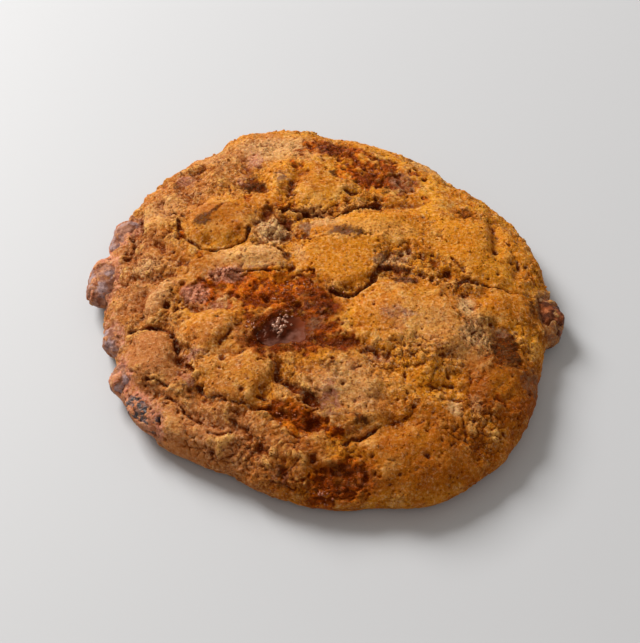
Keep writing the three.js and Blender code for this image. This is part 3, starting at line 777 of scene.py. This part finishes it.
def make_crumbs(crust):
    """Loose crumbs that baked onto the crust, joined as one piece."""
    points = places(crust.data)
    out = normals(crust.data)
    rng = np.random.default_rng(3)
    wet = np.maximum(patch(points, CARAMEL_STAINS, 0.6), patch(points, DARK_CARAMEL, 0.6))
    _, near = crack_depth(points, 0.0)
    chance = np.clip(out[:, 2], 0, 1) * (1.0 - wet) ** 2 * (1.0 - near)
    chosen = rng.choice(len(points), size=CRUMB_COUNT, replace=False, p=chance / chance.sum())
    bm = bmesh.new()
    for i in chosen:
        radius = rng.uniform(*CRUMB_RADIUS) * MM
        place = Matrix.Translation(Vector((points[i] + DOUGH_AXIS) * MM))
        turn = Quaternion(rng.normal(size=4)).normalized().to_matrix().to_4x4()
        squash = Matrix.Diagonal((*rng.uniform(*CRUMB_SQUASH, size=3), 1.0))
        matrix = place @ turn @ squash
        bmesh.ops.create_icosphere(bm, subdivisions=1, radius=radius, matrix=matrix)
    crumbs = link("crust_crumbs", bm)
    mesh = crumbs.data
    corners = len(mesh.vertices) // CRUMB_COUNT
    for name in MASKS:
        under = np.empty(len(points), dtype=np.float32)
        crust.data.attributes[name].data.foreach_get("value", under)
        put_attribute(mesh, name, np.repeat(np.minimum(under[chosen], 1.0), corners))
    shade_smooth(mesh)
    return crumbs


# ---- Pieces baked into the crust ----


def make_lump(name, node, growth, lumps):
    """A piece baked into the dough, with lumps as (size, height) of each layer of noise."""
    piece = link(name, merged(node))
    apply_modifier(piece, "SUBSURF", levels=LUMP_LEVELS, render_levels=LUMP_LEVELS)
    mesh = piece.data
    points = places(mesh)
    relief = np.full(len(points), growth, dtype=np.float32)
    for layer, (size, height) in enumerate(lumps):
        relief += height * waves(points, size, LUMP_SEED + layer)
    moved = points + normals(mesh) * relief[:, None]
    moved[:, 2] = np.maximum(moved[:, 2], FLOOR_LINE)
    put_places(mesh, moved)
    put_attribute(mesh, "film_sheen", patch(points, CARAMEL_FILM_SHEEN, 0.5, 0.4, 70))
    shade_edge = points[:, 0] + waves(points, 3.0, 72)
    put_attribute(mesh, "amber", smoothstep(*AMBER_SIDE, shade_edge))
    shade_smooth(mesh)
    return piece


def make_bubbles(crust, pool):
    """Small domes of set froth on the caramel."""
    top = np.concatenate([places(crust.data), places(pool.data)])
    top = top[top[:, 2] > BUBBLES_ABOVE]
    rng = np.random.default_rng(5)
    bm = bmesh.new()
    for x, y, half_length, half_width, count, largest in FROTH:
        for _ in range(count):
            spread = (0.55 * half_length, 0.55 * half_width)
            at = np.array([x, y]) + rng.normal(size=2) * spread
            close = np.hypot(*(top[:, :2] - at).T) < 0.35
            if not close.any():
                continue
            radius = rng.uniform(0.35, 1.0) * largest
            sunk = top[close, 2].max() - 0.25 * radius
            matrix = Matrix.Translation((np.array([*at, sunk]) + DOUGH_AXIS) * MM)
            bmesh.ops.create_icosphere(bm, subdivisions=2, radius=radius * MM, matrix=matrix)
    bubbles = link("caramel_bubbles", bm)
    mesh = bubbles.data
    put_attribute(mesh, "milky", 1.0 - smoothstep(0.0, 1.0, beyond_opening(places(mesh))))
    shade_smooth(mesh)
    return bubbles


# ---- Materials ----

# The kinds of node that are used: what each is always set to, the inputs that a call fills in
# turn, and the output that the call gives.
KINDS = {
    "Attribute": ({}, (), "Fac"),
    "BsdfPrincipled": ({}, (), "BSDF"),
    "Bump": ({}, ("Height", "Distance", "Strength", "Normal"), "Normal"),
    "MapRange": ({"interpolation_type": "SMOOTHSTEP"}, range(5), "Result"),
    "Math": ({"operation": "MULTIPLY"}, range(3), 0),
    "Mix": ({"data_type": "RGBA"}, (0, 6, 7), 2),
    "OutputMaterial": ({}, (), None),
    "TexCoord": ({}, (), "Object"),
    "TexNoise": ({"Roughness": 0.6}, ("Vector", "Scale", "Detail", "Roughness"), "Fac"),
    "TexVoronoi": ({}, ("Vector", "Scale"), "Distance"),
    "VectorMath": ({"operation": "ADD"}, range(2), 0),
}


def linear(code):
    """An sRGB hex colour as linear red, green, blue and alpha."""
    channels = [int(code[i:i + 2], 16) / 255 for i in (1, 3, 5)]
    return [c / 12.92 if c <= 0.04045 else ((c + 0.055) / 1.055) ** 2.4 for c in channels] + [1.0]


def add_node(tree, kind, *values, **settings):
    """Adds a node and gives its output. Settings name its properties or its other inputs, and a
    value that is another node's output is linked."""
    always, inputs, output = KINDS[kind]
    node = tree.nodes.new("ShaderNode" + kind)
    given = {}
    for key, value in {**always, **dict(zip(inputs, values)), **settings}.items():
        if isinstance(key, str) and hasattr(node, key):
            setattr(node, key, value)
        else:
            given[key] = value
    for key, value in given.items():
        socket = node.inputs[key.replace("_", " ") if isinstance(key, str) else key]
        if isinstance(value, bpy.types.NodeSocket):
            tree.links.new(value, socket)
        else:
            socket.default_value = value
    return node.outputs[output] if node.outputs else None


def new_material(name):
    """A material, what adds its nodes, and the place on the piece that its patterns follow."""
    material = bpy.data.materials.new(name)
    material.use_nodes = True
    material.node_tree.nodes.clear()
    add = partial(add_node, material.node_tree)
    return material, add, add("TexCoord")


def per(size):
    """The scale of a pattern whose bumps or grains are that many millimetres across."""
    return 1.0 / (size * MM)


def together(add, *masks):
    """The product of masks. A mask is a source, or (source, low, high, start, end), which goes
    from start to end as its source goes from low to high."""
    product, *others = [add("MapRange", *mask) if isinstance(mask, tuple) else mask for mask in masks]
    for mask in others:
        product = add("Math", product, mask)
    return product


def lay(add, colour, *layers):
    """The colour with others laid over it, each with the masks that show it."""
    for other, *masks in layers:
        other = linear(other) if isinstance(other, str) else other
        colour = add("Mix", together(add, *masks), colour, other)
    return colour


def grit(add, where, size, bend=0.0):
    """Distance to the middles of packed grains of that size, and a colour for each."""
    if bend:
        crooked = add("TexNoise", where, 1.3 * per(size), 2.0, 0.5).node.outputs["Color"]
        push = add("VectorMath", crooked, Scale=bend * size * MM, operation="SCALE")
        where = add("VectorMath", where, push)
    distance = add("TexVoronoi", where, per(size))
    return distance, distance.node.outputs["Color"]


def seam(add, source, width):
    """1 along the lines where the source crosses 0.5, and 0 away from them."""
    return together(add, (source, 0.5 - width, 0.5), (source, 0.5 + width, 0.5))


def crumble(add, mask, grains):
    """The mask worn away by crumbs of the crust, the more the weaker it is."""
    wear = add("MapRange", grains, 0.35, 0.62, 0.0, -0.8)
    return add("Math", mask, 1.7, wear, operation="MULTIPLY_ADD", use_clamp=True)


def finish(add, colour, **settings):
    add("OutputMaterial", Surface=add("BsdfPrincipled", Base_Color=colour, **settings))


def baked_crust():
    """Sugary cookie dough baked golden: matt and sandy, painted dark in its cracks, hollows and pits
    as shade and pale on its rises as a highlight, glossy where caramel soaked it.
    Sugar grains are too fine to show, so they are drawn nearly twice as coarse, with painted glints."""
    material, add, where = new_material("baked_crust")
    on = {name: add("Attribute", attribute_name=name) for name in MASKS}
    broad = add("TexNoise", where, per(13.0), 2.0)
    ochre = add("TexNoise", where, per(5.5), 3.0)
    mottle = add("TexNoise", where, per(3.0), 4.0)
    burnt = add("TexNoise", where, per(3.4), 2.0)
    spongy = add("TexNoise", where, per(1.6), 3.0, 0.7)
    grain = add("TexNoise", where, per(0.9), 4.0, 0.7)
    sand, _ = grit(add, where, 0.75)
    pore, pore_colour = grit(add, where, 1.7, 1.6)
    speck, speck_colour = grit(add, where, 1.0, 1.6)
    for name in ("chocolate", "bloom"):
        on[name] = crumble(add, on[name], add("TexNoise", where, per(1.7), 4.0, 0.7))

    colour = lay(
        add, linear("#cb7b16"),
        ("#d99022", (broad, 0.35, 0.65)),
        ("#e0aa58", (ochre, 0.52, 0.7, 0.0, 0.75)),
        ("#ba6210", (ochre, 0.48, 0.3, 0.0, 0.7)),
        ("#aa5c12", (mottle, 0.45, 0.72, 0.0, 0.85)),
        ("#94490a", on["browned"]),
        ("#b37140", on["dusky"]),
        # Darker in the hollows as painted shade, and paler on the rises as a painted highlight.
        ("#803600", (on["hollow"], 0.05, 1.0, 0.0, 0.95)),
        ("#eab262", (on["hollow"], -0.1, -0.9, 0.0, 0.65)),
        ("#de8e1c", on["golden"]),
        ("#dab07a", on["pale"]),
        ("#48240a", on["chocolate"]),
    )

    # Caramel is bright on its ridges, deep in its pits and in the hollows of its sponge as painted
    # shade, and darkest where it is wet.
    bright = lay(add, linear("#c65c06"), ("#762c0a", on["wet"]))
    deep = lay(add, linear("#601a00"), ("#2c0a00", on["wet"]))
    caramel = lay(
        add, bright,
        (deep, (on["dent"], -0.2, 0.5)),
        (deep, (spongy, 0.5, 0.37, 0.0, 0.9)),
        (deep, (burnt, 0.44, 0.62, 0.0, 0.8)),
        ("#d27616", (burnt, 0.49, 0.36, 0.0, 0.9), (on["wet"], 0.1, 0.7, 1.0, 0.0)),
    )
    soaked = add("TexNoise", where, per(2.2), 3.0)
    bloom = lay(add, linear("#8c6246"), ("#d48c70", on["dusky"]))

    # Crazed lines and dark specks, both darkened as painted shade, and dry ground, where pale sugar
    # grains carry painted glints.
    coarse_seam = seam(add, add("TexNoise", where, per(4.2), 3.0), 0.02)
    fine_seam = seam(add, add("TexNoise", where, per(2.0), 3.0), 0.03)
    crazed = add("Math", coarse_seam, fine_seam, operation="MAXIMUM")
    crazed = together(add, crazed, (on["rough"], 0.2, 0.9, 0.1, 0.8))
    specks = together(add, (speck, 0.3, 0.12), (speck_colour, 0.5, 0.6, 0.0, 0.8))
    dry = together(
        add, (on["caramel"], 0.2, 0.7, 0.36, 0.04), (on["chocolate"], 0.1, 0.8, 1.0, 0.2),
        (on["browned"], 0.2, 0.8, 1.0, 0.45), (on["golden"], 0.1, 0.8, 1.0, 0.5),
    )
    porous = together(add, (pore_colour, 0.42, 0.52), (on["rough"], 0.15, 0.8, 0.35, 0.8))
    colour = lay(
        add, colour,
        (caramel, on["caramel"], (soaked, 0.3, 0.5, 0.65, 1.0)),
        (bloom, on["bloom"]),
        # Dents, pits, cracks and crazed lines are darkened as painted shade.
        ("#6a2802", (on["dent"], 0.08, 0.7, 0.0, 0.85)),
        ("#6a2200", (on["pit"], 0.03, 0.25, 0.0, 0.7)),
        ("#561600", (on["crack"], 0.1, 0.7, 0.0, 0.85)),
        ("#742a00", crazed),
        # Pale grain tops are partly pale sugar and partly painted glints.
        ("#f6d0a2", (grain, 0.5, 0.7), dry),
        ("#ecb474", (sand, 0.3, 0.1), dry),
        # Dips of the grain, pores and specks are darkened as painted shade.
        ("#8a4000", (grain, 0.49, 0.32, 0.0, 0.7)),
        ("#662400", (pore, 0.3, 0.14), porous),
        ("#783000", specks),
    )

    grainy = together(add, (on["caramel"], 0.3, 0.9, 0.9, 0.35))
    normal = add("Bump", grain, 0.8 * MM, grainy)
    normal = add("Bump", sand, -0.2 * MM, 0.6, normal)
    normal = add("Bump", crazed, -0.35 * MM, 0.8, normal)
    normal = add("Bump", specks, -0.3 * MM, 0.8, normal)
    normal = add("Bump", spongy, 1.2 * MM, on["caramel"], normal)
    finish(
        add, colour, Normal=normal,
        Roughness=together(add, (on["caramel"], 0.2, 0.9, 0.62, 0.16)),
        Specular_IOR_Level=0.1, Specular_Tint=linear("#ffa868"),
        Subsurface_Weight=0.25, Subsurface_Radius=(1.0, 0.35, 0.1), Subsurface_Scale=1.5 * MM,
    )
    return material


def set_caramel():
    """Cooked sugar caramel, set smooth and dark, with a dull milky film along one side, whose
    violet-grey colour is a painted sheen.
    """
    material, add, where = new_material("set_caramel")
    amber = add("Attribute", attribute_name="amber")
    film_sheen = add("Attribute", attribute_name="film_sheen")
    cloud = add("TexNoise", where, per(3.2), 3.0)
    streaks = add("TexNoise", where, per(1.3), 3.0)
    ripple = add("TexNoise", where, per(2.6), 2.0)
    colour = lay(
        add, linear("#220a04"),
        ("#401608", (cloud, 0.35, 0.7)),
        ("#763820", amber),
        # The violet-grey film is a painted sheen on the rougher caramel.
        ("#86584a", film_sheen, (streaks, 0.35, 0.6, 0.3, 0.9)),
    )
    finish(
        add, colour, Normal=add("Bump", ripple, 0.5 * MM, 0.6),
        Roughness=together(add, (film_sheen, 0.0, 1.0, 0.15, 0.4)),
        Specular_IOR_Level=0.08, Specular_Tint=linear("#f0a070"),
    )
    return material


def caramel_froth():
    """Bubbles of hard clear caramel: small bright glints on dark red-brown."""
    material, add, _ = new_material("caramel_froth")
    milky = add("Attribute", attribute_name="milky")
    colour = lay(add, linear("#8a4420"), ("#8a5a44", milky))
    finish(
        add, colour, Roughness=0.12, Specular_IOR_Level=1.0, Specular_Tint=linear("#fff0e4")
    )
    return material


def crusted_caramel():
    """Caramel that boiled over the edge: dark, porous and only half glossy."""
    material, add, where = new_material("crusted_caramel")
    cloud = add("TexNoise", where, per(2.2), 4.0)
    crumb = add("TexNoise", where, per(1.1), 4.0, 0.7)
    colour = lay(
        add, linear("#431806"),
        ("#8c4620", (cloud, 0.38, 0.66)),
        ("#b8744c", (crumb, 0.54, 0.66, 0.0, 0.7)),
    )
    finish(
        add, colour, Normal=add("Bump", crumb, 0.9 * MM, 0.9), Roughness=0.45,
        Specular_IOR_Level=0.25, Specular_Tint=linear("#ffc9a0"),
    )
    return material


def bloomed_chocolate():
    """Chocolate melted into crumb at the edge: sandy pinkish brown with violet grey patches that are
    partly bloom and partly a painted sheen of cool light, and grain painted dark in its dips and pale
    on its tops as shade and highlight."""
    material, add, where = new_material("bloomed_chocolate")
    cloud = add("TexNoise", where, per(3.5), 4.0)
    bloom = add("TexNoise", where, per(4.6), 2.0)
    crumb = add("TexNoise", where, per(2.4), 5.0, 0.7)
    grain = add("TexNoise", where, per(0.9), 4.0, 0.75)
    colour = lay(
        add, linear("#82492f"),
        ("#b07c64", (cloud, 0.35, 0.62)),
        # The violet grey is partly bloom and partly a painted sheen of cool light.
        ("#b09698", (bloom, 0.47, 0.6, 0.0, 0.75)),
        ("#b4713e", (crumb, 0.5, 0.62, 0.0, 0.85)),
        # Grain dips darkened as painted shade, grain tops lightened as a painted highlight.
        ("#4a2010", (grain, 0.48, 0.3, 0.0, 0.85)),
        ("#d8a88c", (grain, 0.54, 0.7, 0.0, 0.6)),
    )
    normal = add("Bump", crumb, 1.0 * MM, 0.8)
    finish(
        add, colour, Normal=add("Bump", grain, 0.8 * MM, 0.9, normal), Roughness=0.5,
        Specular_IOR_Level=0.3, Specular_Tint=linear("#ffe0d8"),
    )
    return material


def dark_chocolate():
    """Dark chocolate at the edge, cracked open: blue-black, with blue-grey clouds that are partly its
    own colour and partly a painted cold sheen, and a cold gloss.
    """
    material, add, where = new_material("dark_chocolate")
    cloud = add("TexNoise", where, per(1.6), 4.0)
    crumb = add("TexNoise", where, per(1.3), 5.0, 0.7)
    cracked = add("TexNoise", where, per(1.1), 3.0)
    colour = lay(
        add, linear("#1e1210"),
        # The blue-grey clouds are partly a painted cold sheen.
        ("#584a52", (cloud, 0.4, 0.62)),
        ("#84543c", (crumb, 0.46, 0.56, 0.0, 0.85)),
    )
    normal = add("Bump", cracked, 0.9 * MM, 1.0)
    finish(add, colour, Normal=normal, Roughness=0.3, Specular_IOR_Level=0.4)
    return material


def pale_floor():
    """Matt off-white studio board."""
    material, add, _ = new_material("pale_floor")
    finish(add, linear("#b8babf"), Roughness=0.6)
    return material


def dress(obj, material, slot, *nodes):
    """Finishes a piece, which stands for those CAD nodes."""
    obj.data.materials.clear()
    obj.data.materials.append(material)
    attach(obj, "root")
    if nodes:
        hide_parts(*nodes)


# ---- Stage ----


def make_stage():
    bm = bmesh.new()
    bmesh.ops.create_grid(bm, x_segments=1, y_segments=1, size=2.0)
    floor = link("floor", bm)
    floor.data.materials.append(pale_floor())


def make_camera():
    """A portrait lens that looks down on the cookie from its front."""
    elevation = math.radians(50.9)
    distance = 0.3687
    aim = Vector((-0.00107, -0.0088, 0.008))
    toward = Vector((0, math.cos(elevation), -math.sin(elevation)))
    data = bpy.data.cameras.new("camera")
    data.lens = 80
    data.clip_start = 0.01
    camera = bpy.data.objects.new("camera", data)
    camera.location = aim - toward * distance
    camera.rotation_euler = toward.to_track_quat("-Z", "Y").to_euler()
    bpy.context.scene.collection.objects.link(camera)
    bpy.context.scene.camera = camera


def make_light(name, place, size, power, color):
    data = bpy.data.lights.new(name, "AREA")
    data.shape = "SQUARE"
    data.size = size
    data.energy = power
    data.color = color
    light = bpy.data.objects.new(name, data)
    light.location = place
    light.rotation_euler = (-Vector(place)).to_track_quat("-Z", "Y").to_euler()
    bpy.context.scene.collection.objects.link(light)


def make_lights():
    make_light("window", (-0.62, 0.68, 0.75), 0.55, 21, (1.0, 0.98, 0.94))
    make_light("fill", (0.1, -0.7, 0.9), 0.9, 1.2, (1.0, 0.98, 0.95))
    world = bpy.data.worlds.new("studio")
    world.use_nodes = True
    background = world.node_tree.nodes["Background"]
    background.inputs["Color"].default_value = linear("#f6eee2")
    background.inputs["Strength"].default_value = 0.42
    bpy.context.scene.world = world
    bpy.context.scene.view_settings.view_transform = "Standard"


# ---- The whole ----

crust = make_crust()
dress(crust, baked_crust(), "crust", "cookie")
dress(make_crumbs(crust), crust.data.materials[0], "crust")
pool = make_lump("caramel_pool_set", "caramel_pool", POOL_GROWTH, POOL_LUMPS)
dress(pool, set_caramel(), "caramel", "caramel_pool")
dress(make_bubbles(crust, pool), caramel_froth(), "caramel")
lump = make_lump("caramel_lump_set", "caramel_lump", CHUNK_GROWTH, BOILED_LUMPS)
dress(lump, crusted_caramel(), "caramel", "caramel_lump")
bloomed = bloomed_chocolate()
dark = dark_chocolate()
for node in CHUNKS:
    chunk = make_lump(node + "_melted", node, CHUNK_GROWTH, CHUNK_LUMPS)
    dress(chunk, dark if node == CHUNKS[-1] else bloomed, "chocolate", node)

make_stage()
make_camera()
make_lights()
